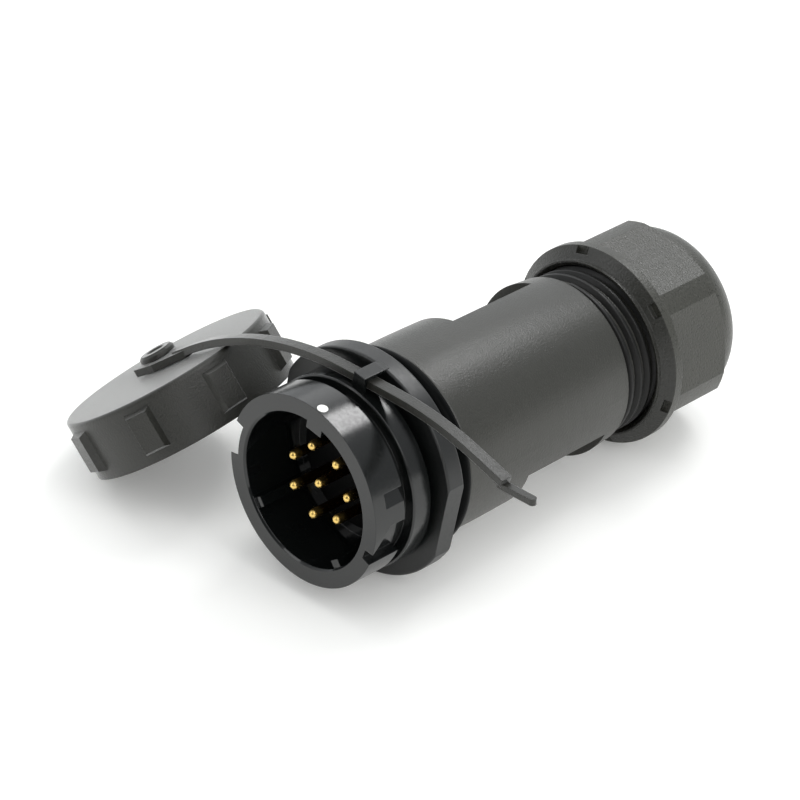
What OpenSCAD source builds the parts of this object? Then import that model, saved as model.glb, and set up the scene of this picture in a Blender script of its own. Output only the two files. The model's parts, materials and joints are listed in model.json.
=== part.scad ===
// Twist-lock circular cable connector with a tethered dust cap, lying on a table
// Lengths are in millimetres, angles in degrees
// The origin is the centre of the mating face, +Y runs to the cable end and +Z is up

/* [Mating nose] */
// Outside diameter of the nose
nose_d = 30; // [29:0.1:32]
// Length of the nose
nose_len = 5.8; // [5:0.1:8]
// Diameter of the mating cavity
cavity_d = 24.2; // [23:0.1:25]
// Chamfer at the cavity's mouth
mouth_chamfer = 0.3; // [0.1:0.05:0.6]
// Depth of the mating cavity
cavity_len = 11; // [10.5:0.1:11.5]
// Wall of the web that the contact carrier seats on, along the axis
web_len = 1.6; // [1:0.1:3]
// Height of that web inside the shell
web_h = 1.8; // [1:0.1:2.5]
// Width of the main polarising key
key_w = 3; // [2:0.1:4]
// Height of the main polarising key
key_h = 1; // [0.6:0.1:1.6]
// Width of the two side ribs
rib_w = 1.6; // [1:0.1:2.4]
// Height of the two side ribs
rib_h = 1.2; // [0.6:0.1:1.6]
// Distance of the side ribs behind the mating face
rib_set = 0.6; // [0.2:0.1:2]
// Roll of the front shell as it lies
shell_roll = 11; // [0:1:20]

/* [Twist lock] */
// Radial depth of the entry slots and of the ramps behind them
slot_depth = 1.5; // [1:0.1:2]
// Angle that the wide entry slot lies at
wide_at = 179; // [174:1:184]
// Angle that the narrow entry slot lies at
narrow_at = -9; // [-14:1:-4]
// Angle of the wide entry slot
wide_slot = 22; // [14:1:30]
// Angle of the narrow entry slot
narrow_slot = 7; // [5:1:12]
// Angle of each locking ramp
ramp_turn = 16; // [12:1:22]
// Distance that each ramp draws the mating half in
ramp_rise = 2.6; // [1.5:0.1:3.2]
// Angle of the stop behind each ramp
stop_turn = 11; // [6:1:16]
// Angle of the detent pocket behind each stop
pocket_turn = 9; // [6:1:14]
// Radial depth of the detent pockets at their steep side
pocket_depth = 1; // [0.5:0.1:1.6]
// Distance of the detent pockets behind the mating face
pocket_set = 2.3; // [1.5:0.1:3.5]

/* [Collar and flange] */
// Width of the groove between nose and collar
groove_w = 1.75; // [1:0.05:3]
// Radial depth of that groove
groove_depth = 1.7; // [1:0.1:2]
// Diameter of the collar
collar_d = 30.2; // [29:0.1:31]
// Length of the collar
collar_len = 3.55; // [3:0.05:5]
// Chamfer on the edges of the collar
edge_break = 0.2; // [0.1:0.05:0.4]
// Width of the neck between collar and flange
neck_w = 0.8; // [0.4:0.1:2]
// Radial depth of that neck
neck_depth = 1.5; // [0.8:0.1:2]
// Diameter of the flange
flange_d = 35.8; // [34.8:0.1:38]
// Thickness of the flange
flange_len = 3.15; // [2:0.05:5]
// Distance across the two flats of the flange
flange_af = 33.5; // [32:0.1:34.5]
// Round on the edges of the flange
flange_round = 0.35; // [0.1:0.05:0.6]
// Diameter of the shoulder behind the flange
shoulder_d = 28.4; // [27:0.1:30]
// Length of that shoulder
shoulder_len = 1.45; // [0.8:0.05:3]
// Diameter of the spigot that carries the rear body
spigot_d = 25.8; // [25:0.1:26.4]
// Length of the spigot
spigot_len = 13.5; // [12.6:0.1:16]
// Bore of the spigot
spigot_bore_d = 22.6; // [22.2:0.1:23]

/* [Strap loop] */
// Width of the loop's bar
loop_w = 2.2; // [1.4:0.1:4]
// Thickness of the loop's bar
loop_t = 0.6; // [0.4:0.1:1.5]
// Thickness of the loop's front leg
loop_leg = 0.7; // [0.5:0.1:1.2]

/* [Contacts] */
// Number of contacts on the ring, with one more in the centre
ring_pins = 7; // [7:1:7]
// Diameter of the ring of contacts
ring_d = 11.7; // [11:0.1:13]
// Diameter of a contact
pin_d = 1.5; // [1:0.05:1.8]
// Distance of the contact tips behind the mating face
tip_set = 2.75; // [2:0.05:5]
// Diameter of the shoulder on a contact
pin_shoulder_d = 2.2; // [2:0.05:2.6]
// Length of the shoulder on a contact
pin_shoulder_len = 6.8; // [5:0.1:8]
// Diameter of a solder cup
cup_d = 1.7; // [1.4:0.05:1.9]
// Length of a solder cup behind the retainer
cup_len = 4.8; // [3:0.1:6]
// Bore of a solder cup
cup_bore = 1.1; // [0.8:0.05:1.2]
// Depth of the bore in a solder cup
cup_depth = 3; // [2:0.1:3.6]
// Radial clearance of a contact in its hole
pin_clear = 0.03; // [0.02:0.01:0.1]

/* [Contact carrier] */
// Length that the carrier stands into the mating cavity
boss_len = 0.4; // [0.2:0.1:2]
// Length of the carrier behind the web
carrier_len = 9.4; // [8.6:0.1:12]
// Thickness of the retainer behind the carrier
retainer_len = 2.6; // [1.5:0.1:4]
// Radial clearance of the carrier in the shell
carrier_clear = 0.05; // [0.03:0.01:0.15]
// Thickness of the snap ring
clip_len = 1.2; // [0.8:0.1:1.6]
// Width of the snap ring's section
clip_w = 2.1; // [1.5:0.1:3]
// Radial depth of the snap ring's groove
clip_depth = 0.5; // [0.3:0.05:0.8]
// Angle of the gap in the snap ring
clip_gap = 40; // [20:5:90]
// Clearance of the snap ring in its groove
clip_clear = 0.05; // [0.02:0.01:0.1]

/* [Flange seal] */
// Width of the seal along the axis
seal_len = 2.55; // [2:0.05:4]
// Outside diameter of the seal
seal_d = 32; // [30:0.1:33]

/* [Rear body] */
// Length of the rear body's barrel
body_len = 36; // [32:0.5:44]
// Diameter of the barrel at its front edge
body_front_d = 30.1; // [29.6:0.1:33]
// Diameter of the barrel at its rear edge
body_rear_d = 27.44; // [26.8:0.1:29]
// Swell of the barrel over a straight taper, on the radius
body_swell = 0.47; // [0:0.05:1]
// Round on the barrel's front edge
body_round = 0.4; // [0.2:0.1:1.2]
// Distance across the two wrench flats
wrench_af = 25.4; // [25:0.1:28]
// Length of the wrench flats
wrench_len = 18.7; // [10:0.1:22]
// Length of barrel left behind the wrench flats
wrench_rear = 3.8; // [2:0.1:6]
// Angle that the wrench flats lie at
wrench_roll = 40; // [0:1:90]
// Bore of the wiring chamber
chamber_d = 22; // [20:0.1:22.6]
// Length of barrel behind the wiring chamber
throat_set = 3; // [2:0.1:6]
// Diameter of the throat
throat_d = 15.6; // [12:0.1:17]
// Length of the gland's floor behind the barrel
gland_floor = 2.4; // [1.5:0.1:4]
// Diameter of the gland's thread at its root
thread_d = 25; // [24.6:0.1:26.4]
// Length of the gland's thread
thread_len = 14; // [13:0.1:16]
// Pitch of the gland's thread
thread_pitch = 2; // [1.5:0.1:2.2]
// Bore of the gland
gland_bore_d = 21.2; // [19:0.1:22]
// Radial clearance between spigot and barrel
spigot_clear = 0.1; // [0.02:0.01:0.2]

/* [Cable gland] */
// Length of the rubber gland seal
gland_len = 8.5; // [6:0.1:9]
// Bore of the gland seal for the cable
cable_d = 9.2; // [6:0.1:11]
// Radial clearance of seal and cage in the gland
gland_clear = 0.05; // [0.03:0.01:0.15]
// Length of the clamping cage's ring
cage_ring = 2.8; // [2:0.1:4]
// Bore of the clamping cage
cage_bore_d = 14; // [12:0.1:16]
// Number of fingers on the clamping cage
cage_fingers = 10; // [6:1:12]
// Width of the slots between the fingers
cage_slot = 1.4; // [0.8:0.1:2]
// Taper of the fingers on the radius
cage_taper = 1.2; // [0:0.1:1.5]
// Thickness of the slip ring
slip_len = 1; // [0.6:0.1:2]
// Radial clearance of the slip ring in the nut
slip_clear = 0.1; // [0.05:0.01:0.3]
// Bore of the slip ring
slip_bore_d = 15.6; // [15:0.1:18]

/* [Gland nut] */
// Gap between the barrel and the gland nut
nut_gap = 6; // [3.5:0.1:8]
// Diameter of the nut's front edge
nut_lip_d = 28.7; // [28:0.1:30]
// Diameter of the nut's rim
nut_rim_d = 32.66; // [32:0.02:34.4]
// Length of the straight lip at the nut's front
nut_lip = 0.7; // [0.3:0.1:0.9]
// Length of the nut's front, lip and cone together
nut_cone = 1.9; // [1:0.1:3]
// Thickness of the nut's rim
nut_rim = 1.5; // [1:0.1:3]
// Distance across the flats of the hexagon
nut_af = 29.6; // [28.8:0.1:31]
// Distance across the trimmed corners of the hexagon
nut_ac = 32.4; // [31:0.1:33]
// Length of the hexagon's corners
nut_hex = 10.7; // [9:0.1:14]
// Length of the bevel behind the corners
nut_bevel = 1.3; // [0.5:0.1:2]
// Amount that the dome stands in from the flats
dome_step = 0.2; // [0.1:0.05:0.6]
// Radius of the dome at the nut's rear
nut_dome = 5.6; // [5:0.1:8]
// Bore of the nut over the thread
nut_bore_d = 26.7; // [26.5:0.1:27.4]
// Length of the nut's bore
nut_bore_len = 16.6; // [15:0.1:18]
// Hole for the cable in the nut
nut_hole_d = 15; // [12:0.1:17]
// Width of the notches in the nut's cone
notch_w = 2.4; // [1:0.1:4]
// Radial depth of the notches in front of the nut's rim
notch_depth = 1.2; // [0.5:0.1:2]
// Angle that the hexagon's corners lie at
nut_roll = 43; // [0:1:59]
// Turns that the nut still tightens
turns_in = 1.5; // [0.5:0.25:1.5]
// Clearance of moving pieces along the axis
run_clear = 0.3; // [0.2:0.05:0.5]
// Clearance of the slip ring at its seat
seat_clear = 0.05; // [0.03:0.01:0.2]

/* [Dust cap] */
// Diameter of the cap
cap_d = 34.6; // [34:0.1:38]
// Height of the cap
cap_h = 9.8; // [9.5:0.05:14]
// Thickness of the cap's top
cap_top = 1.8; // [1.2:0.1:3]
// Wall of the cap, which leaves it free to turn on the nose
cap_wall = 1.9; // [1.4:0.1:2]
// Round on the cap's upper edge
cap_round = 0.6; // [0.2:0.1:1.2]
// Number of grip pads round the cap
pad_count = 8; // [4:1:12]
// Width of a grip pad at its outer face
pad_w = 3.4; // [2:0.1:6]
// Height of a grip pad at its outer face
pad_h = 5.9; // [3:0.1:7]
// Distance of the grip pads below the top
pad_set = 1.9; // [1:0.1:3]
// Amount that a grip pad stands out
pad_out = 1.05; // [0.2:0.05:1.4]
// Amount that a grip pad widens on each side towards the cap
pad_slope = 0.6; // [0.1:0.1:0.8]
// Turn of the grip pads about the cap
pad_turn = -13; // [-45:0.5:45]
// Amount that the cap's lugs stand in
lug_in = 1.5; // [0.8:0.1:1.6]
// Thickness of the cap's lugs along its axis
lug_len = 2; // [1:0.1:2.4]
// Distance of the lugs inside the cap's mouth
lug_set = 1.8; // [1:0.1:3]
// Angle of clearance of the cap's lugs in the entry slots
lug_clear = 1; // [0.5:0.25:2]
// Thickness of the cap's seal
cap_seal_len = 1.2; // [0.8:0.1:2]
// Width of the cap's seal
cap_seal_w = 2.9; // [2:0.1:4]
// Diameter of the stud that carries the strap
stud_d = 3.4; // [2.6:0.1:4]
// Diameter of the stud's head
head_d = 5.8; // [5:0.1:7]
// Height of the stud's head
head_h = 1; // [1:0.1:2.5]
// Diameter of the hollow in the stud's head
hollow_d = 3; // [1:0.1:3.6]
// Depth of the hollow in the stud's head
hollow_h = 0.3; // [0.1:0.05:0.6]
// Tilt of the cap as it lies
cap_tilt = 33.6; // [25:0.1:45]
// Roll of the cap towards the front, on the slack of its stud
cap_roll = 9.5; // [0:0.1:10]
// Gap between the leaning cap and the flange
cap_gap = 3.1; // [1:0.1:6]

/* [Strap] */
// Width of the strap
strap_w = 1.9; // [1.6:0.1:3]
// Thickness of the strap
strap_t = 1.2; // [1:0.1:2]
// Clearance of the strap over the collar and under the loop
strap_clear = 0.3; // [0.2:0.02:0.6]
// Clearance of the strap between cap and head
eye_clear = 0.3; // [0.2:0.05:0.8]
// Radial clearance of the strap's eye on the stud
stud_clear = 0.06; // [0.03:0.01:0.1]
// Width of the strap's eye
eye_w = 6.4; // [5:0.1:8]
// Length of the eye beyond the stud
eye_end = 3.2; // [2.5:0.1:6]
// Length of the eye's straight sides on the strap's side of the stud
eye_side = 1.6; // [0.5:0.1:3]
// Length over which the eye narrows to the strap
eye_taper = 6; // [3:0.1:9]
// Fall of the strap towards its tail where it passes the loop
strap_lean = 1; // [0:0.5:4]
// Angle that the strap rises off the cap by
strap_rise = 1.5; // [1:0.5:5]
// Bend radius of the strap above the cap
strap_bend = 56; // [30:1:60]
// Straight length of the strap behind the loop
tail_run = 5; // [4:0.1:12]
// Bend radius of the strap's tail
tail_bend = 52; // [40:1:80]
// Angle that the tail bends down by
tail_turn = 17; // [5:1:25]
// Straight length of the tail's end
tail_end = 6.3; // [3:0.1:10]
// Width of the finger at the tail's end
finger_w = 1.2; // [0.8:0.1:1.6]
// Thickness of the finger
finger_t = 1; // [0.8:0.1:1.4]
// Drop of the finger below the middle of the strap
finger_drop = 0.8; // [0:0.1:0.9]
// Length of the finger
finger_len = 5; // [3:0.1:10]

/* [Hidden] */
$fn = 64;
PINS = [for (i = [1:ring_pins + 1]) str("contact_pin_", i)];

// Radii
nose_r = nose_d / 2;
cavity_r = cavity_d / 2;
collar_r = collar_d / 2;
flange_r = flange_d / 2;
spigot_r = spigot_d / 2;
shoulder_r = shoulder_d / 2;
spigot_bore_r = spigot_bore_d / 2;
web_r = cavity_r - web_h;
slot_r = nose_r - slot_depth;
groove_floor = nose_r - groove_depth;
pin_r = pin_d / 2;
carrier_r = spigot_bore_r - carrier_clear;
boss_r = web_r - carrier_clear;
clip_r = spigot_bore_r + clip_depth;
thread_r = thread_d / 2;
gland_r = gland_bore_d / 2;
insert_r = gland_r - gland_clear;
nut_rim_r = nut_rim_d / 2;
nut_bore_r = nut_bore_d / 2;
cap_r = cap_d / 2;
cap_bore_r = cap_r - cap_wall;

// Stations along the axis, measured back from the mating face
collar_at = nose_len + groove_w;
collar_end = collar_at + collar_len;
flange_at = collar_end + neck_w;
flange_end = flange_at + flange_len;
shoulder_end = flange_end + shoulder_len;
body_at = shoulder_end + seal_len;
spigot_end = shoulder_end + spigot_len;
web_end = cavity_len + web_len;
boss_at = cavity_len - boss_len;
carrier_end = web_end + carrier_len;
retainer_end = carrier_end + retainer_len;
clip_at = retainer_end + clip_clear;
clip_end = clip_at + clip_len;
pin_shoulder_at = carrier_end - pin_shoulder_len;
body_end = body_at + body_len;
thread_end = body_end + thread_len;
socket_end = spigot_end + run_clear;
gland_at = body_end + gland_floor;
gland_end = gland_at + gland_len;
cage_ring_end = gland_end + cage_ring;
nut_at = body_end + nut_gap;
nut_rim_at = nut_at + nut_cone;
nut_rim_end = nut_rim_at + nut_rim;
bevel_at = nut_rim_end + nut_hex;
dome_at = bevel_at + nut_bevel;
nut_end = dome_at + nut_dome;
slip_seat = nut_at + nut_bore_len;
slip_end = slip_seat - seat_clear;
slip_at = slip_end - slip_len;
cage_end = slip_at - turns_in * thread_pitch - run_clear;
strap_at = (collar_at + flange_at) / 2;

// The connector rests on its flange and on the rim of its nut
rest_tilt = atan((flange_r - nut_rim_r) / (nut_rim_end - flange_end));
floor_at = -flange_r * cos(rest_tilt) - flange_end * sin(rest_tilt);

// The cap leans on the floor by its rim and hangs from the strap
eye_up = eye_clear + strap_t / 2;
cap_nor = [-sin(cap_tilt), cos(cap_tilt)];
cap_axis = cos(cap_roll) * cap_nor;
cap_at = strap_at + eye_up * sin(cap_roll);
cap_lean = sqrt(1 - pow(cap_axis[1] * cos(rest_tilt) + sin(cap_roll) * sin(rest_tilt), 2));
rim_at = cap_at + cap_h * sin(cap_roll);
rim_up = (floor_at + cap_r * cap_lean + rim_at * sin(rest_tilt)) / cos(rest_tilt);
rim_x = -flange_r - cap_gap - cap_r * sqrt(1 - pow(cap_axis[0], 2));
cap_x = rim_x + cap_h * cap_axis[0];
cap_up = rim_up + cap_h * cap_axis[1];

// Line of the strap over the cap, line through the loop, and the bend between them
loop_up = collar_r + strap_clear + strap_t / 2;
run_tilt = cap_tilt + strap_rise;
run_dir = around(1, run_tilt);
run_nor = around(1, run_tilt + 90);
loop_dir = [cos(strap_lean), -sin(strap_lean)];
loop_nor = [sin(strap_lean), cos(strap_lean)];
eye_at = [cap_x, cap_up] + eye_up * cap_axis;
knee_run = (loop_up - eye_at * loop_nor) / (run_dir * loop_nor);
knee_turn = run_tilt + strap_lean;
knee_tan = strap_bend * tan(knee_turn / 2);
bend_from = eye_at + (knee_run - knee_tan) * run_dir;
bend_mid = bend_from - strap_bend * run_nor;
loop_at = loop_up * loop_nor;
tail_from = loop_at + (loop_w / 2 + loop_up * tan(shell_roll - strap_lean) + tail_run) * loop_dir;
tail_mid = tail_from - tail_bend * loop_nor;
tail_lean = strap_lean + tail_turn;
tail_nor = [sin(tail_lean), cos(tail_lean)];
tail_dir = [cos(tail_lean), -sin(tail_lean)];
tail_to = tail_mid + tail_bend * tail_nor;
finger_at = tail_to + tail_end * tail_dir;

// Bar of the strap loop, over the strap with room for its fall
loop_skew = shell_roll - strap_lean;
strap_top = loop_up + strap_t / 2;
bar_in = strap_top / cos(loop_skew) + loop_w / 2 * tan(loop_skew) + strap_clear;
bar_out = bar_in + loop_t;
loop_leg_at = strap_at - strap_w / 2 - strap_clear - loop_leg;

// Lays the connector down: modelled mating face up, with the axis along -Z, it comes to rest on the floor
module laid() {
    rotate([90 - rest_tilt, 0, 0]) children();
}

// Places the cap's own upright shape at the end of the strap
module leaned() {
    translate([cap_x, cap_up, -cap_at])
        rotate([0, 0, cap_tilt])
            rotate([cap_roll - 90, 0, 0])
                children();
}

// Solid of revolution from station and radius pairs
module turned(points) {
    rotate_extrude() polygon([for (p = points) [p[1], -p[0]]]);
}

// Round bar between two stations
module bar(r, from, to) {
    translate([0, 0, -to]) cylinder(r = r, h = to - from);
}

// Tube between two stations
module tube(r_out, r_in, from, to) {
    turned([[from, r_in], [from, r_out], [to, r_out], [to, r_in]]);
}

// Part of a tube between two angles
module arc_tube(r_out, r_in, from, to, a1, a2) {
    rotate([0, 0, a1])
        rotate_extrude(angle = a2 - a1)
            polygon([[r_in, -from], [r_out, -from], [r_out, -to], [r_in, -to]]);
}

// Block that stands out radially at an angle, between two radii and two stations
module block(a, w, r_in, r_out, from, to) {
    rotate([0, 0, a])
        translate([r_in, -w / 2, -to])
            cube([r_out - r_in, w, to - from]);
}

// Points of a rounded corner in a profile, as stations and radii
function rounded(s, r, c, a1, a2, n = 5) =
    [for (i = [0:n]) let (a = a1 + (a2 - a1) * i / n) [s + c * cos(a), r + c * sin(a)]];

// Point at a radius and an angle
function around(r, a) = r * [cos(a), sin(a)];

// Slot that lets a lug in at the front, the ramp that draws it back, and the sloping detent pocket
module twist_slot(at, span) {
    entry_end = at + span / 2;
    stop_at = entry_end + ramp_turn;
    pocket_at = stop_at + stop_turn;
    ramp_run = slot_r * 2 * sin(ramp_turn / 2);
    ramp_slope = atan(ramp_rise / ramp_run);
    past = nose_r + 1;
    back = nose_len + groove_w / 2;
    difference() {
        arc_tube(past, slot_r, -1, back, at - span / 2, stop_at);
        rotate([0, 0, entry_end + ramp_turn / 2])
            translate([slot_r - 1, 0, -ramp_rise / 2])
                rotate([-ramp_slope, 0, 0])
                    translate([0, -ramp_run, 0])
                        cube([past, 3 * ramp_run, 2 * nose_len]);
    }
    translate([0, 0, -back])
        linear_extrude(back - pocket_set)
            polygon([
                around(nose_r + 0.05, pocket_at), around(nose_r - pocket_depth, pocket_at + pocket_turn),
                around(past, pocket_at + pocket_turn), around(past, pocket_at)
            ]);
}

// Loop that the strap is threaded through, on top of the collar
module strap_loop() {
    block(90, loop_w, bar_in, bar_out, loop_leg_at, flange_at + loop_leg);
    block(90, loop_w, groove_floor, bar_out, loop_leg_at, loop_leg_at + loop_leg);
    block(90, loop_w, groove_floor, bar_out, flange_at, flange_at + loop_leg);
}

// Moulded front half with the twist lock, the flange and the spigot
module front_shell() {
    f = flange_round;
    neck_r = collar_r - neck_depth;
    color("#2b2d2e")
    laid()
    rotate([0, 0, -shell_roll])
    union() {
        difference() {
            turned(concat(
                [[mouth_chamfer, cavity_r], [0, cavity_r + mouth_chamfer], [0, nose_r], [nose_len, nose_r]],
                [[nose_len, groove_floor], [collar_at, groove_floor]],
                [[collar_at, collar_r - edge_break], [collar_at + edge_break, collar_r]],
                [[collar_end - edge_break, collar_r], [collar_end, collar_r - edge_break]],
                [[collar_end, neck_r], [flange_at, neck_r]],
                rounded(flange_at + f, flange_r - f, f, 180, 90),
                rounded(flange_end - f, flange_r - f, f, 90, 0),
                [[flange_end, shoulder_r], [shoulder_end, shoulder_r], [shoulder_end, spigot_r]],
                [[spigot_end, spigot_r], [spigot_end, spigot_bore_r], [clip_end, spigot_bore_r]],
                [[clip_end, clip_r], [clip_at, clip_r], [clip_at, spigot_bore_r]],
                [[web_end, spigot_bore_r], [web_end, web_r], [cavity_len, web_r], [cavity_len, cavity_r]]
            ));
            for (a = [0, 180])
                block(a, flange_d, flange_af / 2, flange_d,
                    flange_at - neck_w / 2, flange_end + shoulder_len / 2);
            twist_slot(narrow_at, narrow_slot);
            twist_slot(wide_at, wide_slot);
        }
        intersection() {
            block(90, key_w, cavity_r - key_h, slot_r, 0, cavity_len);
            bar(slot_r, 0, cavity_len);
        }
        for (a = [-45, 225])
            block(a, rib_w, cavity_r - rib_h, cavity_r + 0.5, rib_set, cavity_len);
        strap_loop();
    }
}

// Place of each contact, the first in the centre
function pin_place(i) =
    i == 0 ? [0, 0] : around(ring_d / 2, 90 + 360 / ring_pins * (i - 0.5));

// Insulator that carries the contacts
module contact_carrier() {
    color("#1b1c1d")
    laid()
    rotate([0, 0, -shell_roll])
    difference() {
        turned([[boss_at, 0], [boss_at, boss_r], [web_end, boss_r], [web_end, carrier_r],
            [carrier_end, carrier_r], [carrier_end, 0]]);
        for (i = [0:ring_pins])
            translate(pin_place(i)) {
                bar(pin_r + pin_clear, 0, carrier_end);
                bar(pin_shoulder_d / 2 + pin_clear, pin_shoulder_at, carrier_end + 1);
            }
    }
}

// Disc that holds the contacts in the carrier
module contact_retainer() {
    color("#1b1c1d")
    laid()
    rotate([0, 0, -shell_roll])
    difference() {
        bar(carrier_r, carrier_end, retainer_end);
        for (i = [0:ring_pins])
            translate(pin_place(i)) bar(cup_d / 2 + pin_clear, carrier_end - 1, retainer_end + 1);
    }
}

// Split snap ring behind the retainer
module carrier_clip() {
    color("#8c8f90")
    laid()
    rotate([0, 0, 90 + clip_gap / 2])
        rotate_extrude(angle = 360 - clip_gap)
            polygon([
                [clip_r - clip_clear - clip_w, -clip_at], [clip_r - clip_clear, -clip_at],
                [clip_r - clip_clear, -clip_end + clip_clear],
                [clip_r - clip_clear - clip_w, -clip_end + clip_clear]
            ]);
}

// Turned contact with a round tip, a shoulder and a solder cup
module contact_pin(i) {
    cup_end = retainer_end + cup_len;
    color("#d9a441")
    laid()
    rotate([0, 0, -shell_roll])
    translate(pin_place(i))
    difference() {
        union() {
            translate([0, 0, -tip_set - pin_r]) sphere(r = pin_r);
            bar(pin_r, tip_set + pin_r, carrier_end);
            bar(pin_shoulder_d / 2, pin_shoulder_at, carrier_end);
            bar(cup_d / 2, carrier_end, cup_end);
        }
        bar(cup_bore / 2, cup_end - cup_depth, cup_end + 1);
        translate([-cup_d, 0, -cup_end - 1]) cube([2 * cup_d, cup_d, 1 + cup_depth / 2]);
    }
}

// Rubber ring between flange and barrel
module flange_seal() {
    h = seal_len / 2;
    color("#101112")
    laid()
    turned(concat(
        [[shoulder_end, spigot_r]],
        rounded(shoulder_end + h, seal_d / 2 - h, h, 180, 0, 12),
        [[body_at, spigot_r]]
    ));
}

// Radius of the barrel at a share of its length
function barrel_r(u) =
    (body_front_d + (body_rear_d - body_front_d) * u) / 2 + body_swell * 4 * u * (1 - u);

// Barrel with wrench flats, the wiring chamber and the gland's threaded neck
module rear_body() {
    steps = 14;
    first = body_round / body_len;
    wrench_end = body_end - wrench_rear;
    throat_at = body_end - throat_set;
    throat_r = throat_d / 2;
    slant = chamber_d / 2 - throat_r;
    socket_r = spigot_r + spigot_clear;
    color("#4a4845")
    laid()
    difference() {
        turned(concat(
            [[body_at, socket_r]],
            rounded(body_at + body_round, barrel_r(first) - body_round, body_round, 180, 90),
            [for (i = [1:steps]) let (u = i / steps) [body_at + u * body_len, barrel_r(u)]],
            [[body_end, thread_r], [thread_end - 0.6, thread_r], [thread_end, thread_r - 0.6]],
            [[thread_end, gland_r], [gland_at, gland_r], [gland_at, throat_r]],
            [[throat_at, throat_r], [throat_at - slant, chamber_d / 2]],
            [[socket_end, chamber_d / 2], [socket_end, socket_r]]
        ));
        for (a = [0, 180])
            block(wrench_roll + 90 + a, body_front_d, wrench_af / 2, body_front_d,
                wrench_end - wrench_len, wrench_end);
    }
}

// Rubber seal that grips the cable
module gland_seal() {
    color("#17181a")
    laid() tube(insert_r, cable_d / 2, gland_at, gland_end);
}

// Ring of fingers that closes on the cable as the nut is tightened
module clamp_cage() {
    cage_r = cage_bore_d / 2;
    root_r = insert_r - 0.3;
    color("#3a3b3c")
    laid()
    difference() {
        turned([[gland_end, cage_r], [gland_end, insert_r], [cage_ring_end, insert_r],
            [cage_ring_end, root_r], [cage_end, root_r - cage_taper], [cage_end, cage_r]]);
        for (i = [1:cage_fingers])
            block(360 / cage_fingers * i, cage_slot, 0, gland_r, cage_ring_end, cage_end + 1);
    }
}

// Ring between the nut and the cage, which the nut turns against
module slip_ring() {
    color("#8c8f90")
    laid() tube(nut_bore_r - slip_clear, slip_bore_d / 2, slip_at, slip_end);
}

// Outline that trims and bevels the hexagon's corners, with the rounded dome behind it
module nut_outline() {
    dome_r = nut_af / 2 - dome_step;
    crown_r = dome_r - nut_dome;
    translate([crown_r, -dome_at]) circle(r = nut_dome);
    translate([0, -nut_end]) square([crown_r, nut_end - nut_rim_at]);
    polygon([[0, -nut_rim_at], [nut_ac / 2, -nut_rim_at], [nut_ac / 2, -bevel_at],
        [dome_r, -dome_at], [0, -dome_at]]);
}

// Hexagonal gland nut with a notched cone in front of its rim and a domed end
module gland_nut() {
    lip_r = nut_lip_d / 2;
    color("#54524e")
    laid()
    rotate([0, 0, nut_roll])
    difference() {
        union() {
            turned([[nut_at, 0], [nut_at, lip_r], [nut_at + nut_lip, lip_r], [nut_rim_at, nut_rim_r],
                [nut_rim_end, nut_rim_r], [nut_rim_end, 0]]);
            intersection() {
                rotate_extrude() nut_outline();
                translate([0, 0, -nut_end])
                    cylinder(r = nut_af / 2 / cos(30), h = nut_end - nut_rim_at, $fn = 6);
            }
        }
        turned([[nut_at - 1, 0], [nut_at - 1, nut_bore_r + 1.7], [nut_at + 0.7, nut_bore_r],
            [slip_seat, nut_bore_r], [slip_seat, 0]]);
        bar(nut_hole_d / 2, nut_at, nut_end + 1);
        for (i = [0:5])
            block(60 * i, notch_w, nut_rim_r - notch_depth, nut_rim_r + 1, nut_at - 1, nut_rim_at);
    }
}

// Grip pad on the cap, whose sides slope in towards its outer face
module grip_pad(a) {
    root = cap_r - 0.4;
    face = cap_r + pad_out;
    wide = pad_w / 2 + pad_slope;
    rotate([0, 0, a])
    intersection() {
        translate([0, 0, -cap_h])
            linear_extrude(cap_h)
                polygon([[root, -wide], [face, -pad_w / 2], [face, pad_w / 2], [root, wide]]);
        rotate([90, 0, 0])
            translate([0, 0, -wide - 1])
                linear_extrude(2 * wide + 2)
                    polygon([
                        [root, pad_slope - pad_set], [face, -pad_set],
                        [face, -pad_set - pad_h], [root, -pad_set - pad_h - pad_slope]
                    ]);
    }
}

// Stud on the cap, with a hollow in its mushroom head
module cap_stud() {
    head_at = 2 * eye_clear + strap_t;
    crown = head_h * 0.4;
    top = head_at + head_h;
    difference() {
        union() {
            bar(stud_d / 2, -head_at - head_h / 2, 0.2);
            translate([0, 0, head_at]) cylinder(r = head_d / 2, h = head_h - crown);
            translate([0, 0, top - crown]) cylinder(r1 = head_d / 2, r2 = head_d / 2 - crown, h = crown);
        }
        translate([0, 0, top - hollow_h])
            cylinder(r1 = hollow_d / 2 - hollow_h, r2 = hollow_d / 2 + 0.1, h = hollow_h + 0.1);
    }
}

// Dust cap with grip pads outside, lugs inside and the stud on top
module cap() {
    c = cap_round;
    color("#6a6a68")
    laid()
    leaned()
    union() {
        rotate_extrude()
            polygon(concat(
                [[0, 0], [cap_r - c, 0]],
                [for (p = rounded(0, 0, c, 90, 0)) [cap_r - c + p[0], p[1] - c]],
                [[cap_r, -cap_h], [cap_bore_r, -cap_h], [cap_bore_r, -cap_top], [0, -cap_top]]
            ));
        for (i = [0:pad_count - 1])
            grip_pad(pad_turn + 360 / pad_count * i);
        cap_lug(0, narrow_slot);
        cap_lug(wide_at - narrow_at, wide_slot);
        cap_stud();
    }
}

// One of the cap's twist-lock lugs
module cap_lug(at, span) {
    half = span / 2 - lug_clear;
    lug_end = cap_h - lug_set;
    arc_tube(cap_bore_r + 0.2, cap_bore_r - lug_in, lug_end - lug_len, lug_end, at - half, at + half);
}

// Sealing ring inside the cap
module cap_seal() {
    color("#17181a")
    laid()
    leaned()
    tube(cap_bore_r - 0.1, cap_bore_r - 0.1 - cap_seal_w, cap_top, cap_top + cap_seal_len);
}

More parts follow.
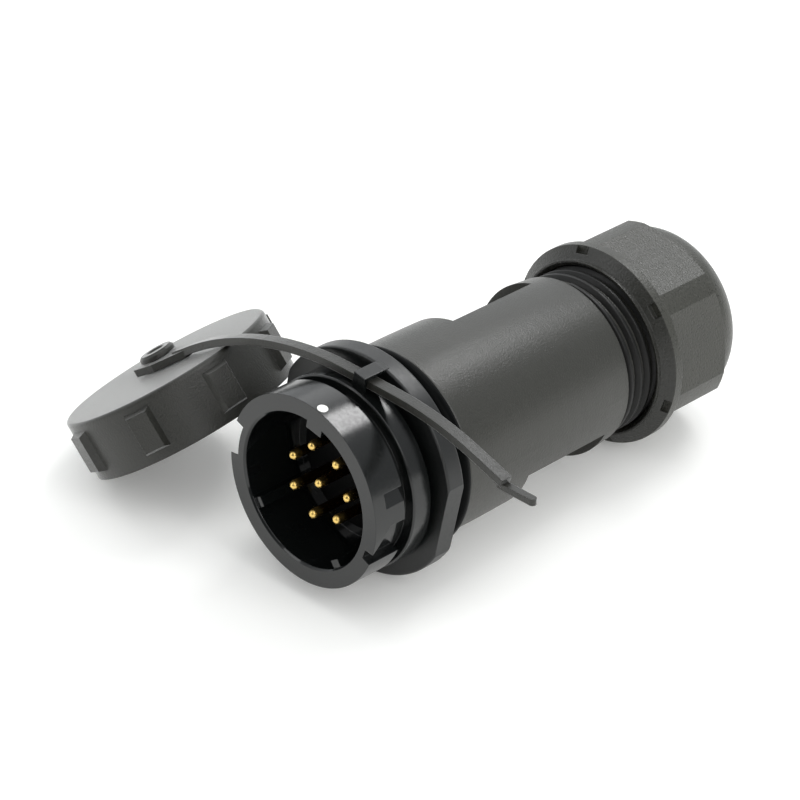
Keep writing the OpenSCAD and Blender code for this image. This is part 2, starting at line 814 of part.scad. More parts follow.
// Points along the middle of the strap, each with the direction across its thickness
function bend_points(mid, r, a1, a2, n) =
    [for (i = [0:n]) let (d = around(1, a1 + (a2 - a1) * i / n)) [mid + r * d, d]];
strap_path = concat(
    [[eye_at + (eye_side + eye_taper / 2) * run_dir, run_nor]],
    bend_points(bend_mid, strap_bend, 90 + run_tilt, 90 - strap_lean, 16),
    bend_points(tail_mid, tail_bend, 90 - strap_lean, 90 - tail_lean, 10),
    [[finger_at, tail_nor]]
);

// Strap that ties the cap to the shell, with its eye on the stud and its tail through the loop
module tether_strap() {
    last = len(strap_path) - 1;
    half = strap_t / 2;
    root = finger_at - [finger_w, finger_drop];
    reach = finger_w + finger_len;
    color("#6a6a68")
    laid()
    difference() {
        union() {
            translate([0, 0, -strap_at - strap_w / 2])
                linear_extrude(strap_w)
                    polygon(concat(
                        [for (p = strap_path) p[0] + half * p[1]],
                        [for (i = [0:last]) strap_path[last - i][0] - half * strap_path[last - i][1]]
                    ));
            eye()
                linear_extrude(strap_t, center = true)
                    polygon([
                        [-eye_end, -eye_w / 2], [eye_side, -eye_w / 2],
                        [eye_side + eye_taper, -strap_w / 2], [eye_side + eye_taper, strap_w / 2],
                        [eye_side, eye_w / 2], [-eye_end, eye_w / 2]
                    ]);
            translate([root[0], root[1], -strap_at]) {
                translate([0, -finger_t / 2, -finger_w / 2]) cube([reach, finger_t, finger_w]);
                translate([reach, 0, 0])
                    rotate([90, 0, 0]) cylinder(r = finger_w / 2, h = finger_t, center = true);
            }
        }
        eye() cylinder(r = stud_d / 2 + stud_clear, h = strap_t + 1, center = true);
    }
}

// Place of the strap's eye on the stud
module eye() {
    leaned() translate([0, 0, eye_up]) children();
}

front_shell();
contact_carrier();
contact_retainer();
carrier_clip();
for (i = [0:ring_pins])
    contact_pin(i);
flange_seal();
rear_body();
gland_seal();
clamp_cage();
slip_ring();
gland_nut();
cap();
cap_seal();
tether_strap();
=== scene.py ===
"""Looks of a twist-lock cable connector: finishes, gland thread, alignment dot and a small studio."""

import json
import math

import bpy
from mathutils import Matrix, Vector


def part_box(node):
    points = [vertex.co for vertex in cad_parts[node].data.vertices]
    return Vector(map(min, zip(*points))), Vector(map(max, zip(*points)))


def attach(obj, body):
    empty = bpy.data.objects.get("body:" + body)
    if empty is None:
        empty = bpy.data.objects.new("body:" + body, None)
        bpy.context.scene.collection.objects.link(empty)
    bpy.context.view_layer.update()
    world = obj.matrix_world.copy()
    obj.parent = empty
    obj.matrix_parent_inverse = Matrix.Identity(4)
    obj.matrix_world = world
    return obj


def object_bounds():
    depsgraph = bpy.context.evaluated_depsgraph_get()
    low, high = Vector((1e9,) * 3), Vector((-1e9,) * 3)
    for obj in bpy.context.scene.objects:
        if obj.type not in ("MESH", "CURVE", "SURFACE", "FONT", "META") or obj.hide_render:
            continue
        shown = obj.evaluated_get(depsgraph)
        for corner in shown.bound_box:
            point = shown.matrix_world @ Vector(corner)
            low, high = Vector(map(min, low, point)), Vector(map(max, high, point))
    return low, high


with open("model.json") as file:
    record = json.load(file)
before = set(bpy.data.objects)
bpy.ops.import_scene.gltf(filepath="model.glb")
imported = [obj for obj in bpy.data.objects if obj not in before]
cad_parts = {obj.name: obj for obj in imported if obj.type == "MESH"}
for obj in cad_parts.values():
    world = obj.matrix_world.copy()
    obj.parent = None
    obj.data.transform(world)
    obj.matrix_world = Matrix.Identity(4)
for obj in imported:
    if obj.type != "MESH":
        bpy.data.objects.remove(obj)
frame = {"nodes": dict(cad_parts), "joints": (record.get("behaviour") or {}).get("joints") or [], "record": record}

bl_info = {
    "name": "Twist-Lock Connector",
    "version": (1, 0, 0),
    "blender": (4, 5, 0),
    "location": "View3D > Sidebar > Connector",
    "description": "Finishes, gland thread, alignment dot and studio for a cable connector",
    "category": "Object",
}

CAD_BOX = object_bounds()
MM = 0.001
JOINTS = {joint["name"]: joint for joint in frame["joints"]}
# The connector's axis, from the nose to the gland, and the way up across it.
REAR = -Vector(JOINTS["gland_nut_turn"]["axis"]).normalized()
UP = Vector((1, 0, 0)).cross(REAR).normalized()
# One turn of the nut moves it along by one pitch of the thread.
SLIP = JOINTS["gland_slip"]["range_m"]
TURN = JOINTS["gland_nut_turn"]["range_deg"]
PITCH = 360 * (SLIP[1] - SLIP[0]) / (TURN[1] - TURN[0])

# The thread's ridge: its width at the root in pitches, the share of that left at the crest, the
# rounding of its edges, the steps in a turn and the most sides that its open ends have.
RIDGE_ROOT = 0.86
RIDGE_CREST = 0.34
RIDGE_EDGE = 0.06 * MM
RIDGE_STEPS = 72
RIDGE_SIDES = 12

# Sides of the dot's rim, how deep it is set in, and the steps inwards and up to its low crown.
DOT_SIDES = 40
DOT_SINK = 0.15 * MM
DOT_CROWN = ((0.12 * MM, 0.015 * MM), (0.3 * MM, 0.01 * MM))

# Widths of the patterns in the materials. Glass fibres are only about 0.01 mm thick, so they are
# drawn as coarser clusters.
FLOW_MARK = 9 * MM
POLISH_WAVE = 0.5 * MM
GLASS_CLUSTER = 0.3 * MM
BLOOM_PATCH = 3 * MM
TARNISH_PATCH = 1.2 * MM
PAINT_DAB = 0.8 * MM
FLOOR_MOTTLE = 60 * MM
# Radians of phase that a wave texture at scale 1 goes through in a metre.
WAVE_PHASE = 20
# Nearly all of a noise lies between these values.
NOISE_LOW = 0.3
NOISE_HIGH = 0.7
# Shares of the colour left on a pin's shank and on the nut's cone, both painted shade: the shank sits in the dark
# cavity, the cone faces away from the lamps.
PAINTED_SHANK_SHADE = 0.12
PAINTED_CONE_SHADE = 0.45
# Faces that meet at less than this angle are shaded as one surface.
SMOOTH_ANGLE = math.radians(35)

FLOOR_SIZE = 4
FLOOR_GLOW = 0.2
# A key behind, a broad softbox overhead to the right, softboxes on both sides and at the left rear,
# and two in front that the pins mirror: place, width and height, and power. All face one point.
LIGHTS = (
    ("key", (-0.03, 0.65, 0.82), (0.42, 0.20), 2.9),
    ("overhead", (0.48, -0.20, 0.90), (1.0, 1.0), 4.5),
    ("left", (-0.90, 0.10, 0.60), (0.6, 0.6), 1.8),
    ("right", (0.90, 0.10, 0.60), (0.6, 0.6), 2.6),
    ("left_rear", (-0.60, 0.68, 0.60), (0.5, 0.4), 0.6),
    ("front_left", (-0.45, -0.75, 0.45), (0.40, 0.70), 1.5),
    ("front_right", (0.75, -0.55, 0.40), (0.25, 0.60), 1.2),
)
LIGHTS_FACE = Vector((0, 0.03, 0))
# The walls are a cool white, in linear colour: bright behind the object and dark on the camera's
# side, with a fade that reaches this far each way.
WALLS = (0.95, 0.98, 1.0)
CAMERA_SIDE = (0.7, -0.7, 0)
BRIGHT_WALL = 1.0
DARK_WALL = 0.15
WALL_FADE = 0.7
# The camera's place, the way it looks, and its sensor and lens in millimetres.
EYE = Vector((0.28650, -0.26774, 0.25808))
VIEW = Vector((-0.60005, 0.60234, -0.52643))
SENSOR = 36
LENS = 147.4


def linear(code):
    """An sRGB hex colour as linear red, green and blue."""
    parts = [int(code[i:i + 2], 16) / 255 for i in (1, 3, 5)]
    return tuple(c / 12.92 if c <= 0.04045 else ((c + 0.055) / 1.055) ** 2.4 for c in parts)


def colour(name, description, code):
    """A colour setting whose default is an sRGB hex value."""
    return bpy.props.FloatVectorProperty(
        name=name, description=description, subtype="COLOR", size=3, min=0, max=1, default=linear(code)
    )


def length(name, description, millimetres):
    """A length setting whose default is in millimetres."""
    return bpy.props.FloatProperty(
        name=name, description=description, unit="LENGTH", min=0, precision=5, default=millimetres * MM
    )


class ConnectorColours(bpy.types.PropertyGroup):
    """Colours of the connector's materials and of the floor."""

    shell: colour("Front shell", "Glossy nylon of the nose, collar and flange", "#0d0f0f")
    body: colour("Rear body", "Matte nylon of the barrel", "#2a2a25")
    # The thread's colour is far darker than the barrel's, as painted shade under the nut's lip and in the thread's
    # grooves.
    thread: colour("Thread", "Nylon of the gland thread, which has no grain", "#10100f")
    nut: colour("Gland nut", "Textured nylon of the nut", "#32322c")
    cap: colour("Dust cap", "Soft plastic of the cap and its strap", "#1e1e19")
    insert: colour("Contact insert", "Insulator that carries the pins", "#050505")
    rubber: colour("Seals", "Rubber of the flange, gland and cap seals", "#040505")
    cage: colour("Clamp cage", "Nylon of the gland's fingers and slip ring", "#2a2a29")
    gold: colour("Contacts", "Gold plating of the pins", "#f2cf7c")
    steel: colour("Snap ring", "Spring steel behind the insert", "#b9bbbb")
    dot: colour("Alignment dot", "White paint on the nose", "#f4f4f0")
    floor: colour("Floor", "Pale studio floor", "#f2f2f0")


class ConnectorSizes(bpy.types.PropertyGroup):
    """Sizes of the pieces that the frame doesn't hold, and of the finishes."""

    thread_crest: length("Thread crest", "Radius of the gland thread over its ridge", 13.25)
    thread_root: length("Thread root", "Radius where the ridge enters the neck", 12.35)
    thread_start: length("Thread start", "Where the thread begins, from the mating face", 55.1)
    thread_end: length("Thread end", "Where the thread ends, from the mating face", 68.6)
    dot_width: length("Dot width", "Diameter of the alignment dot", 1.6)
    dot_height: length("Dot height", "How far the paint stands on the nose", 0.05)
    dot_place: length("Dot place", "From the mating face to the dot's middle", 1.0)
    dot_turn: bpy.props.FloatProperty(
        name="Dot turn", description="Angle of the dot round the nose", subtype="ANGLE",
        default=math.radians(78.6),
    )
    flange_front: length("Flange front", "From the mating face to where the shell turns matte", 11.8)
    bore_edge: length("Bore edge", "Radius within which the shell is mirror-bright", 12.3)
    nut_rim: length("Nut rim", "From the mating face to the end of the nut's cone", 62.95)
    # Behind its tip a pin's shank is painted darker, as painted shade of the dark cavity round it.
    bright_tip: length("Bright tip", "How far behind its tip a pin stays bright", 1.0)
    shaded_shank: length("Dull shank", "How far behind its tip a pin is fully tarnished", 2.2)
    edge: length("Edge softness", "Radius that catches light on moulded edges", 0.18)
    # Real grain and tool lines are about 0.05 mm wide; both are drawn coarser, so that they show.
    texture: length("Texture grain", "Width of one grain of the moulded texture", 0.26)
    tool_lines: length("Tool lines", "Distance between the lines that a tool leaves on metal", 0.6)


def add_node(tree, kind, inputs=None, stops=(), **settings):
    """Adds a shader node with its settings; an input is given a value or linked to a socket.

    A Mix node's inputs go by number: 0 is the factor, 2 and 3 take numbers, 6 and 7 take colours.
    A ramp's stops are pairs of a place and a colour.
    """
    node = tree.nodes.new(kind)
    for name, value in settings.items():
        setattr(node, name, value)
    for socket, value in (inputs or {}).items():
        if isinstance(value, bpy.types.NodeSocket):
            tree.links.new(value, node.inputs[socket])
        else:
            node.inputs[socket].default_value = value
    for number, (place, tint) in enumerate(stops):
        node.color_ramp.elements[number].position = place
        node.color_ramp.elements[number].color = tint
    return node


def new_material(name):
    """A cleared material with its tree, its surface shader and the object's own coordinates."""
    material = bpy.data.materials.new(name)
    material.use_nodes = True
    tree = material.node_tree
    tree.nodes.clear()
    shader = add_node(tree, "ShaderNodeBsdfPrincipled")
    add_node(tree, "ShaderNodeOutputMaterial", {"Surface": shader.outputs["BSDF"]})
    place = add_node(tree, "ShaderNodeTexCoord").outputs["Object"]
    return material, tree, shader, place


def surface(material):
    """The tree of a finished material and the surface shader in it."""
    tree = material.node_tree
    return tree, tree.nodes["Principled BSDF"]


def axis_places(tree):
    """How far a point lies along the connector's axis and out from it, as two sockets."""
    place = add_node(tree, "ShaderNodeTexCoord").outputs["Object"]
    along = add_node(tree, "ShaderNodeVectorMath", {0: place, 1: REAR}, operation="DOT_PRODUCT")
    across = add_node(tree, "ShaderNodeVectorMath", {0: place, 1: REAR}, operation="CROSS_PRODUCT")
    out = add_node(tree, "ShaderNodeVectorMath", {0: across.outputs["Vector"]}, operation="LENGTH")
    return along.outputs["Value"], out.outputs["Value"]


def tones(tint, dark, light, high=NOISE_HIGH):
    """Places and colours from the tint times dark, low in a noise, to the tint times light, high in it."""
    ends = ((NOISE_LOW, dark), (high, light))
    return [(place, (*[min(1, c * factor) for c in tint], 1)) for place, factor in ends]


def moulded_plastic(name, tint, grain, depth, rough, spread, tone, speckle=0.5):
    """Plastic, injection moulded: the tool's grain breaks up the highlight, and flow marks shift the tone.

    grain is one grain's width, depth its height, rough the middle roughness, spread how far the
    grain moves it, tone how far the colour darkens or lightens, and speckle the share of that which
    follows the grain and not the flow marks.
    """
    sizes = bpy.context.scene.connector_sizes
    material, tree, shader, place = new_material(name)
    flow = add_node(
        tree, "ShaderNodeTexNoise",
        {"Vector": place, "Scale": 1 / FLOW_MARK, "Detail": 3.0, "Roughness": 0.55},
    )
    fine = add_node(
        tree, "ShaderNodeTexNoise", {"Vector": place, "Scale": 1 / grain, "Detail": 2.0, "Roughness": 0.5}
    )
    both = add_node(tree, "ShaderNodeMix", {0: speckle, 2: flow.outputs["Fac"], 3: fine.outputs["Fac"]})
    ramp = add_node(
        tree, "ShaderNodeValToRGB", {"Fac": both.outputs[0]}, stops=tones(tint, 1 - tone, 1 + tone)
    )
    gloss = add_node(
        tree, "ShaderNodeMapRange",
        {"Value": fine.outputs["Fac"], "From Min": NOISE_LOW, "From Max": NOISE_HIGH,
         "To Min": rough - spread, "To Max": rough + spread},
    )
    edge = add_node(tree, "ShaderNodeBevel", {"Radius": sizes.edge}, samples=4)
    bump = add_node(
        tree, "ShaderNodeBump",
        {"Height": fine.outputs["Fac"], "Distance": depth, "Strength": 1.0, "Normal": edge.outputs["Normal"]},
    )
    tree.links.new(ramp.outputs["Color"], shader.inputs["Base Color"])
    tree.links.new(gloss.outputs["Result"], shader.inputs["Roughness"])
    tree.links.new(bump.outputs["Normal"], shader.inputs["Normal"])
    # Nylon's own, and close to an elastomer's.
    shader.inputs["IOR"].default_value = 1.53
    return material


def moulded_rubber(name, tint):
    """Nitrile rubber, moulded: nearly black with a soft gloss, and a faint bloom that dulls it in patches."""
    material, tree, shader, place = new_material(name)
    bloom = add_node(
        tree, "ShaderNodeTexNoise",
        {"Vector": place, "Scale": 1 / BLOOM_PATCH, "Detail": 4.0, "Roughness": 0.6},
    )
    gloss = add_node(
        tree, "ShaderNodeMapRange",
        {"Value": bloom.outputs["Fac"], "From Min": NOISE_LOW, "From Max": NOISE_HIGH,
         "To Min": 0.25, "To Max": 0.45},
    )
    ramp = add_node(
        tree, "ShaderNodeValToRGB", {"Fac": bloom.outputs["Fac"]}, stops=tones(tint, 0.8, 1.6, high=0.75)
    )
    tree.links.new(ramp.outputs["Color"], shader.inputs["Base Color"])
    tree.links.new(gloss.outputs["Result"], shader.inputs["Roughness"])
    shader.inputs["IOR"].default_value = 1.52
    shader.inputs["Specular IOR Level"].default_value = 0.03
    return material


def worked_metal(name, tint, tip=None):
    """Turned or drawn metal: tool lines across the axis pull the highlight out along the piece.

    Where tip, a pin's foremost place, is given, the metal keeps its colour there and is painted darker behind, as
    painted shade of the dark cavity round the shank.
    """
    sizes = bpy.context.scene.connector_sizes
    material, tree, shader, place = new_material(name)
    turned = add_node(
        tree, "ShaderNodeTexWave",
        {"Vector": place, "Scale": math.tau / (WAVE_PHASE * sizes.tool_lines), "Distortion": 1.5,
         "Detail": 2.0, "Detail Scale": 2.0},
        wave_type="BANDS", bands_direction="Y",
    )
    tarnish = add_node(
        tree, "ShaderNodeTexNoise", {"Vector": place, "Scale": 1 / TARNISH_PATCH, "Detail": 3.0}
    )
    gloss = add_node(
        tree, "ShaderNodeMapRange",
        {"Value": tarnish.outputs["Fac"], "From Min": NOISE_LOW, "From Max": NOISE_HIGH,
         "To Min": 0.25, "To Max": 0.38},
    )
    ramp = add_node(
        tree, "ShaderNodeValToRGB", {"Fac": tarnish.outputs["Fac"]}, stops=tones(tint, 0.86, 1.06)
    )
    bump = add_node(
        tree, "ShaderNodeBump", {"Height": turned.outputs["Fac"], "Distance": 0.004 * MM, "Strength": 1.0}
    )
    tint_from = ramp.outputs["Color"]
    if tip is not None:
        along = add_node(tree, "ShaderNodeSeparateXYZ", {"Vector": place}).outputs["Y"]
        behind = add_node(
            tree, "ShaderNodeMapRange",
            {"Value": along, "From Min": tip + sizes.bright_tip, "From Max": tip + sizes.shaded_shank},
        )
        # Painted shade for the shank in the dark cavity, darker and stronger in colour than the tint.
        darkened = (*[c * c * PAINTED_SHANK_SHADE for c in tint], 1)
        shank_shading = add_node(
            tree, "ShaderNodeMix", {0: behind.outputs["Result"], 6: tint_from, 7: darkened}, data_type="RGBA"
        )
        tint_from = shank_shading.outputs[2]
    tree.links.new(tint_from, shader.inputs["Base Color"])
    tree.links.new(gloss.outputs["Result"], shader.inputs["Roughness"])
    tree.links.new(bump.outputs["Normal"], shader.inputs["Normal"])
    shader.inputs["Metallic"].default_value = 1.0
    return material


def dabbed_paint(name, tint):
    """Enamel paint, dabbed on by hand: thick and white, with a soft shine that waves a little."""
    material, tree, shader, place = new_material(name)
    dab = add_node(tree, "ShaderNodeTexNoise", {"Vector": place, "Scale": 1 / PAINT_DAB, "Detail": 2.0})
    bump = add_node(
        tree, "ShaderNodeBump", {"Height": dab.outputs["Fac"], "Distance": 0.03 * MM, "Strength": 1.0}
    )
    tree.links.new(bump.outputs["Normal"], shader.inputs["Normal"])
    shader.inputs["Base Color"].default_value = (*tint, 1)
    shader.inputs["Roughness"].default_value = 0.35
    return material


def lit_acrylic(name, tint):
    """Acrylic sheet, opal and lit from below: matte white that stays pale in the shadows, hardly mottled."""
    material, tree, shader, place = new_material(name)
    mottle = add_node(tree, "ShaderNodeTexNoise", {"Vector": place, "Scale": 1 / FLOOR_MOTTLE, "Detail": 3.0})
    ramp = add_node(
        tree, "ShaderNodeValToRGB", {"Fac": mottle.outputs["Fac"]}, stops=tones(tint, 0.985, 1.0)
    )
    tree.links.new(ramp.outputs["Color"], shader.inputs["Base Color"])
    shader.inputs["Roughness"].default_value = 0.9
    shader.inputs["Specular IOR Level"].default_value = 0.1
    shader.inputs["Emission Color"].default_value = (*tint, 1)
    shader.inputs["Emission Strength"].default_value = FLOOR_GLOW
    return material


def dress(material, *names):
    """Gives CAD nodes a material in place of the one they came with."""
    for name in names:
        for slot in frame["nodes"][name].material_slots:
            slot.material = material


def start_piece(name):
    """Names the object that an operator has just added, which is the active one."""
    piece = bpy.context.active_object
    piece.name = piece.data.name = name
    return piece


def pick(piece, test):
    """Selects the vertices of the mesh being edited whose place passes the test, and no others."""
    bpy.ops.object.mode_set(mode="OBJECT")
    for part in (piece.data.polygons, piece.data.edges, piece.data.vertices):
        part.foreach_set("select", [False] * len(part))
    for vertex in piece.data.vertices:
        vertex.select = test(vertex.co)
    bpy.ops.object.mode_set(mode="EDIT")


def settle(piece, body, material):
    """Puts the object's place into its mesh and hands the piece to its body."""
    bpy.ops.object.mode_set(mode="OBJECT")
    bpy.ops.object.transform_apply(location=True, rotation=True, scale=True)
    bpy.ops.object.shade_smooth_by_angle(angle=SMOOTH_ANGLE)
    piece.data.materials.clear()
    piece.data.materials.append(material)
    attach(piece, body)


class CONNECTOR_OT_front_shell(bpy.types.Operator):
    """Finish the nose, collar and flange in glossy black nylon."""

    bl_idname = "connector.front_shell"
    bl_label = "Front Shell"

    def execute(self, context):
        sizes = context.scene.connector_sizes
        nylon = moulded_plastic(
            "Nylon, polished mould", context.scene.connector_colours.shell, grain=POLISH_WAVE,
            depth=0.004 * MM, rough=0.2, spread=0.04, tone=0.15, speckle=0.3,
        )
        tree, shader = surface(nylon)
        along, out = axis_places(tree)
        gloss = shader.inputs["Roughness"].links[0].from_socket
        # The flange is matte, and the bore is drawn off a mirror-bright core.
        for place, border, fade, before, after in (
            (along, sizes.flange_front, 0.2 * MM, 0.0, 0.18),
            (out, sizes.bore_edge, 0.1 * MM, -0.14, 0.0),
        ):
            change = add_node(
                tree, "ShaderNodeMapRange",
                {"Value": place, "From Min": border - fade, "From Max": border + fade,
                 "To Min": before, "To Max": after},
            )
            total = add_node(tree, "ShaderNodeMath", {0: gloss, 1: change.outputs["Result"]}, operation="ADD")
            gloss = total.outputs["Value"]
        tree.links.new(gloss, shader.inputs["Roughness"])
        dress(nylon, "front_shell")
        return {"FINISHED"}


class CONNECTOR_OT_contacts(bpy.types.Operator):
    """Finish the pins, the insert that carries them, its retainer and the snap ring."""

    bl_idname = "connector.contacts"
    bl_label = "Contacts"

    def execute(self, context):
        colours = context.scene.connector_colours
        pins = [name for name in frame["nodes"] if name.startswith("contact_pin_")]
        if not pins:
            raise RuntimeError("the frame holds no contact pins")
        tip = min(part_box(name)[0][1] for name in pins)
        dress(worked_metal("Brass, turned and gold plated", colours.gold, tip), *pins)
        insert = moulded_plastic(
            "Glass-filled nylon, moulded insert", colours.insert, grain=GLASS_CLUSTER,
            depth=0.01 * MM, rough=0.6, spread=0.05, tone=0.2,
        )
        # Glass at the surface leaves it nearly without shine.
        surface(insert)[1].inputs["Specular IOR Level"].default_value = 0.1
        dress(insert, "contact_carrier", "contact_retainer")
        dress(worked_metal("Spring steel, drawn wire", colours.steel), "carrier_clip")
        return {"FINISHED"}


class CONNECTOR_OT_seals(bpy.types.Operator):
    """Finish the flange seal, the gland seal and the cap's seal in black rubber."""

    bl_idname = "connector.seals"
    bl_label = "Seals"

    def execute(self, context):
        rubber = moulded_rubber("Nitrile rubber, moulded", context.scene.connector_colours.rubber)
        dress(rubber, "flange_seal", "gland_seal", "cap_seal")
        return {"FINISHED"}


class CONNECTOR_OT_rear_body(bpy.types.Operator):
    """Finish the barrel and build the helical thread on its neck."""

    bl_idname = "connector.rear_body"
    bl_label = "Rear Body"

    def execute(self, context):
        colours = context.scene.connector_colours
        sizes = context.scene.connector_sizes
        if sizes.thread_crest <= sizes.thread_root:
            raise RuntimeError("the thread's crest must stand outside its root")
        nylon = moulded_plastic(
            "Nylon, spark-textured mould", colours.body, grain=sizes.texture,
            depth=0.05 * MM, rough=0.36, spread=0.06, tone=0.12,
        )
        dress(nylon, "rear_body")
        # The thread is the barrel's nylon, painted far darker as painted shade under the nut's lip and in its
        # grooves.
        smooth = moulded_plastic(
            "Nylon, moulded thread", colours.thread, grain=POLISH_WAVE,
            depth=0.006 * MM, rough=0.4, spread=0.05, tone=0.1,
        )
        surface(smooth)[1].inputs["Specular IOR Level"].default_value = 0.25
        # The outline of one ridge of the thread, on the plane that holds the axis.
        middle = (sizes.thread_crest + sizes.thread_root) / 2
        bpy.ops.object.select_all(action="DESELECT")
        bpy.ops.mesh.primitive_plane_add(size=1, location=(middle, 0, 0), rotation=(math.pi / 2, 0, 0))
        thread = start_piece("gland_thread")
        thread.scale = (sizes.thread_crest - sizes.thread_root, RIDGE_ROOT * PITCH, 1)
        bpy.ops.object.transform_apply(location=True, rotation=True, scale=True)
        bpy.ops.object.mode_set(mode="EDIT")
        pick(thread, lambda co: co.x > middle)
        bpy.ops.transform.resize(value=(1, 1, RIDGE_CREST), center_override=(middle, 0, 0))
        bpy.ops.mesh.bevel(offset=RIDGE_EDGE, segments=2, affect="VERTICES")
        bpy.ops.mesh.select_all(action="SELECT")
        bpy.ops.mesh.delete(type="ONLY_FACE")
        bpy.ops.object.mode_set(mode="OBJECT")
        # The ridge winds round the axis one pitch a turn.
        winding = thread.modifiers.new("Winding", "SCREW")
        winding.axis = "Z"
        winding.steps = winding.render_steps = RIDGE_STEPS
        winding.iterations = int((sizes.thread_end - sizes.thread_start - PITCH) / PITCH)
        winding.screw_offset = PITCH
        winding.use_merge_vertices = True
        bpy.ops.object.modifier_apply(modifier=winding.name)
        bpy.ops.object.mode_set(mode="EDIT")
        bpy.ops.mesh.select_all(action="SELECT")
        bpy.ops.mesh.fill_holes(sides=RIDGE_SIDES)
        bpy.ops.mesh.normals_make_consistent(inside=False)
        bpy.ops.object.mode_set(mode="OBJECT")
        thread.rotation_euler = REAR.to_track_quat("Z", "X").to_euler()
        thread.location = REAR * (sizes.thread_start + PITCH / 2)
        settle(thread, "shell", smooth)
        return {"FINISHED"}


class CONNECTOR_OT_gland(bpy.types.Operator):
    """Finish the gland nut, its slip ring and the clamping cage."""

    bl_idname = "connector.gland"
    bl_label = "Gland"

    def execute(self, context):
        colours = context.scene.connector_colours
        sizes = context.scene.connector_sizes
        # The nut's grain is a fifth coarser than the barrel's.
        nut = moulded_plastic(
            "Nylon, etched mould", colours.nut, grain=1.2 * sizes.texture,
            depth=0.085 * MM, rough=0.36, spread=0.1, tone=0.35, speckle=0.8,
        )
        # The cone in front of the rim is painted darker than the flats, as painted shade: it faces away from the
        # lamps.
        tree, shader = surface(nut)
        along = axis_places(tree)[0]
        fade = 0.1 * MM
        etched = add_node(
            tree, "ShaderNodeMapRange",
            {"Value": along, "From Min": sizes.nut_rim - fade, "From Max": sizes.nut_rim + fade},
        )
        deep = (*[c * PAINTED_CONE_SHADE for c in colours.nut], 1)
        light = shader.inputs["Base Color"].links[0].from_socket
        tint = add_node(
            tree, "ShaderNodeMix", {0: etched.outputs["Result"], 6: deep, 7: light}, data_type="RGBA"
        )
        tree.links.new(tint.outputs[2], shader.inputs["Base Color"])
        dress(nut, "gland_nut")
        cage = moulded_plastic(
            "Nylon, plain mould", colours.cage, grain=POLISH_WAVE,
            depth=0.006 * MM, rough=0.45, spread=0.06, tone=0.1,
        )
        dress(cage, "clamp_cage", "slip_ring")
        return {"FINISHED"}


class CONNECTOR_OT_dust_cap(bpy.types.Operator):
    """Finish the dust cap and its tether strap."""

    bl_idname = "connector.dust_cap"
    bl_label = "Dust Cap and Strap"

    def execute(self, context):
        soft = moulded_plastic(
            "Thermoplastic elastomer, textured mould", context.scene.connector_colours.cap,
            grain=context.scene.connector_sizes.texture,
            depth=0.06 * MM, rough=0.38, spread=0.08, tone=0.4, speckle=0.8,
        )
        # A dusty bloom that shows where the surface turns away.
        shader = surface(soft)[1]
        shader.inputs["Sheen Weight"].default_value = 0.75
        shader.inputs["Sheen Roughness"].default_value = 0.28
        dress(soft, "cap", "tether_strap")
        return {"FINISHED"}


class CONNECTOR_OT_alignment_dot(bpy.types.Operator):
    """Build the painted dot that marks the keyed side of the nose."""

    bl_idname = "connector.alignment_dot"
    bl_label = "Alignment Dot"

    def execute(self, context):
        sizes = context.scene.connector_sizes
        across = math.cos(sizes.dot_turn)
        radial = Vector((across, 0, 0)) + UP * math.sin(sizes.dot_turn)
        nose = [mount for mount in frame["record"]["mounts"] if mount["name"] == "mating_nose"]
        if not nose:
            raise RuntimeError("the record states no mating nose to put the dot on")
        radius = nose[0]["dims"]["r_mm"] * MM
        bpy.ops.object.select_all(action="DESELECT")
        bpy.ops.mesh.primitive_circle_add(vertices=DOT_SIDES, radius=sizes.dot_width / 2, fill_type="NGON")
        dot = start_piece("alignment_dot")
        bpy.ops.object.mode_set(mode="EDIT")
        bpy.ops.mesh.select_all(action="SELECT")
        thickness = DOT_SINK + sizes.dot_height
        bpy.ops.mesh.extrude_region_move(TRANSFORM_OT_translate={"value": (0, 0, thickness)})
        for inwards, upwards in DOT_CROWN:
            bpy.ops.mesh.inset(thickness=inwards, depth=upwards)
        bpy.ops.mesh.select_all(action="SELECT")
        bpy.ops.mesh.normals_make_consistent(inside=False)
        bpy.ops.object.mode_set(mode="OBJECT")
        dot.rotation_euler = radial.to_track_quat("Z", "Y").to_euler()
        dot.location = REAR * sizes.dot_place + radial * (radius - DOT_SINK)
        paint = dabbed_paint("Enamel paint, dabbed", context.scene.connector_colours.dot)
        settle(dot, "shell", paint)
        return {"FINISHED"}


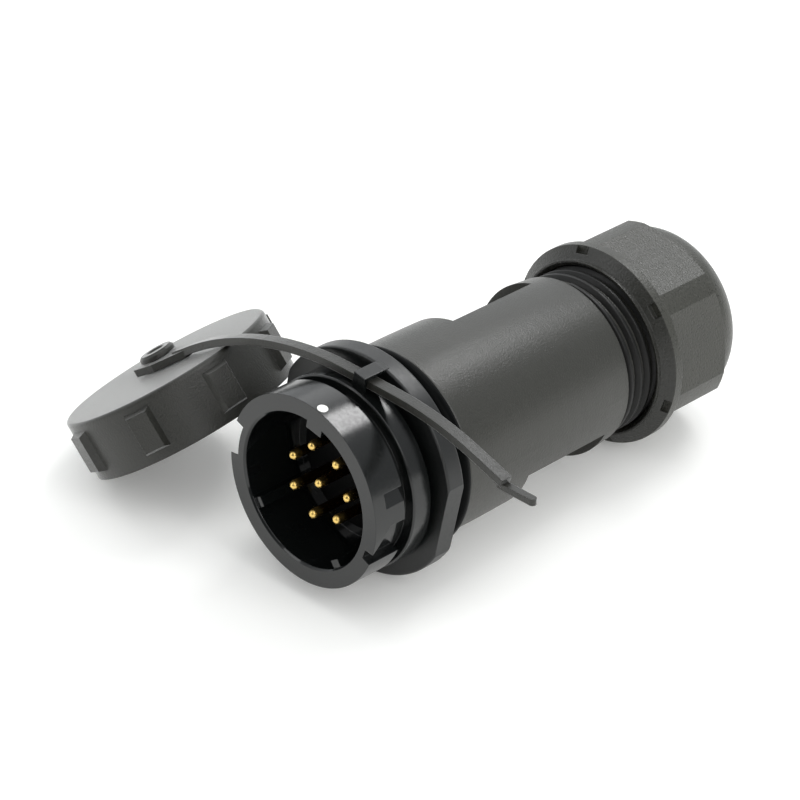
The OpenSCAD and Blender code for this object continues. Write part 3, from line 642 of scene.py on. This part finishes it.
class CONNECTOR_OT_stage(bpy.types.Operator):
    """Set up the pale floor, the soft studio light and the camera."""

    bl_idname = "connector.stage"
    bl_label = "Stage"

    def execute(self, context):
        scene = context.scene
        ground = CAD_BOX[0][2]
        bpy.ops.object.select_all(action="DESELECT")
        bpy.ops.mesh.primitive_plane_add(size=FLOOR_SIZE, location=(0, 0, ground))
        floor = start_piece("floor")
        floor.data.materials.append(lit_acrylic("Acrylic, opal sheet", scene.connector_colours.floor))

        for name, place, size, power in LIGHTS:
            bpy.ops.object.light_add(type="AREA", location=place)
            lamp = bpy.context.active_object
            lamp.name = lamp.data.name = name
            lamp.data.shape = "RECTANGLE"
            lamp.data.size, lamp.data.size_y = size
            lamp.data.energy = power
            lamp.rotation_euler = (LIGHTS_FACE - Vector(place)).to_track_quat("-Z", "Y").to_euler()

        world = bpy.data.worlds.new("Studio")
        world.use_nodes = True
        tree = world.node_tree
        way = add_node(tree, "ShaderNodeTexCoord").outputs["Generated"]
        facing = add_node(tree, "ShaderNodeVectorMath", {0: way, 1: CAMERA_SIDE}, operation="DOT_PRODUCT")
        level = add_node(
            tree, "ShaderNodeMapRange",
            {"Value": facing.outputs["Value"], "From Min": -WALL_FADE, "From Max": WALL_FADE,
             "To Min": BRIGHT_WALL, "To Max": DARK_WALL},
        )
        back = tree.nodes["Background"]
        back.inputs["Color"].default_value = (*WALLS, 1)
        tree.links.new(level.outputs["Result"], back.inputs["Strength"])
        scene.world = world
        scene.view_settings.view_transform = "Standard"

        bpy.ops.object.camera_add(location=EYE, rotation=VIEW.to_track_quat("-Z", "Y").to_euler())
        camera = bpy.context.active_object
        camera.data.sensor_width = SENSOR
        camera.data.lens = LENS
        camera.data.clip_start = 0.01
        scene.camera = camera
        return {"FINISHED"}


class CONNECTOR_PT_panel(bpy.types.Panel):
    """Lists the connector's operators with their colours and sizes."""

    bl_idname = "CONNECTOR_PT_panel"
    bl_label = "Twist-Lock Connector"
    bl_space_type = "VIEW_3D"
    bl_region_type = "UI"
    bl_category = "Connector"

    def draw(self, context):
        for operator in OPERATORS:
            self.layout.operator(operator.bl_idname)
        for group in (context.scene.connector_colours, context.scene.connector_sizes):
            box = self.layout.box()
            for name in group.__annotations__:
                box.prop(group, name)


# In the order in which they run.
OPERATORS = (
    CONNECTOR_OT_front_shell,
    CONNECTOR_OT_contacts,
    CONNECTOR_OT_seals,
    CONNECTOR_OT_rear_body,
    CONNECTOR_OT_gland,
    CONNECTOR_OT_dust_cap,
    CONNECTOR_OT_alignment_dot,
    CONNECTOR_OT_stage,
)
CLASSES = (ConnectorColours, ConnectorSizes, *OPERATORS, CONNECTOR_PT_panel)


def register():
    for kind in CLASSES:
        bpy.utils.register_class(kind)
    bpy.types.Scene.connector_colours = bpy.props.PointerProperty(type=ConnectorColours)
    bpy.types.Scene.connector_sizes = bpy.props.PointerProperty(type=ConnectorSizes)


def unregister():
    del bpy.types.Scene.connector_sizes
    del bpy.types.Scene.connector_colours
    for kind in reversed(CLASSES):
        bpy.utils.unregister_class(kind)


def main():
    register()
    bpy.ops.connector.front_shell()
    bpy.ops.connector.contacts()
    bpy.ops.connector.seals()
    bpy.ops.connector.rear_body()
    bpy.ops.connector.gland()
    bpy.ops.connector.dust_cap()
    bpy.ops.connector.alignment_dot()
    bpy.ops.connector.stage()


if __name__ == "__main__":
    main()
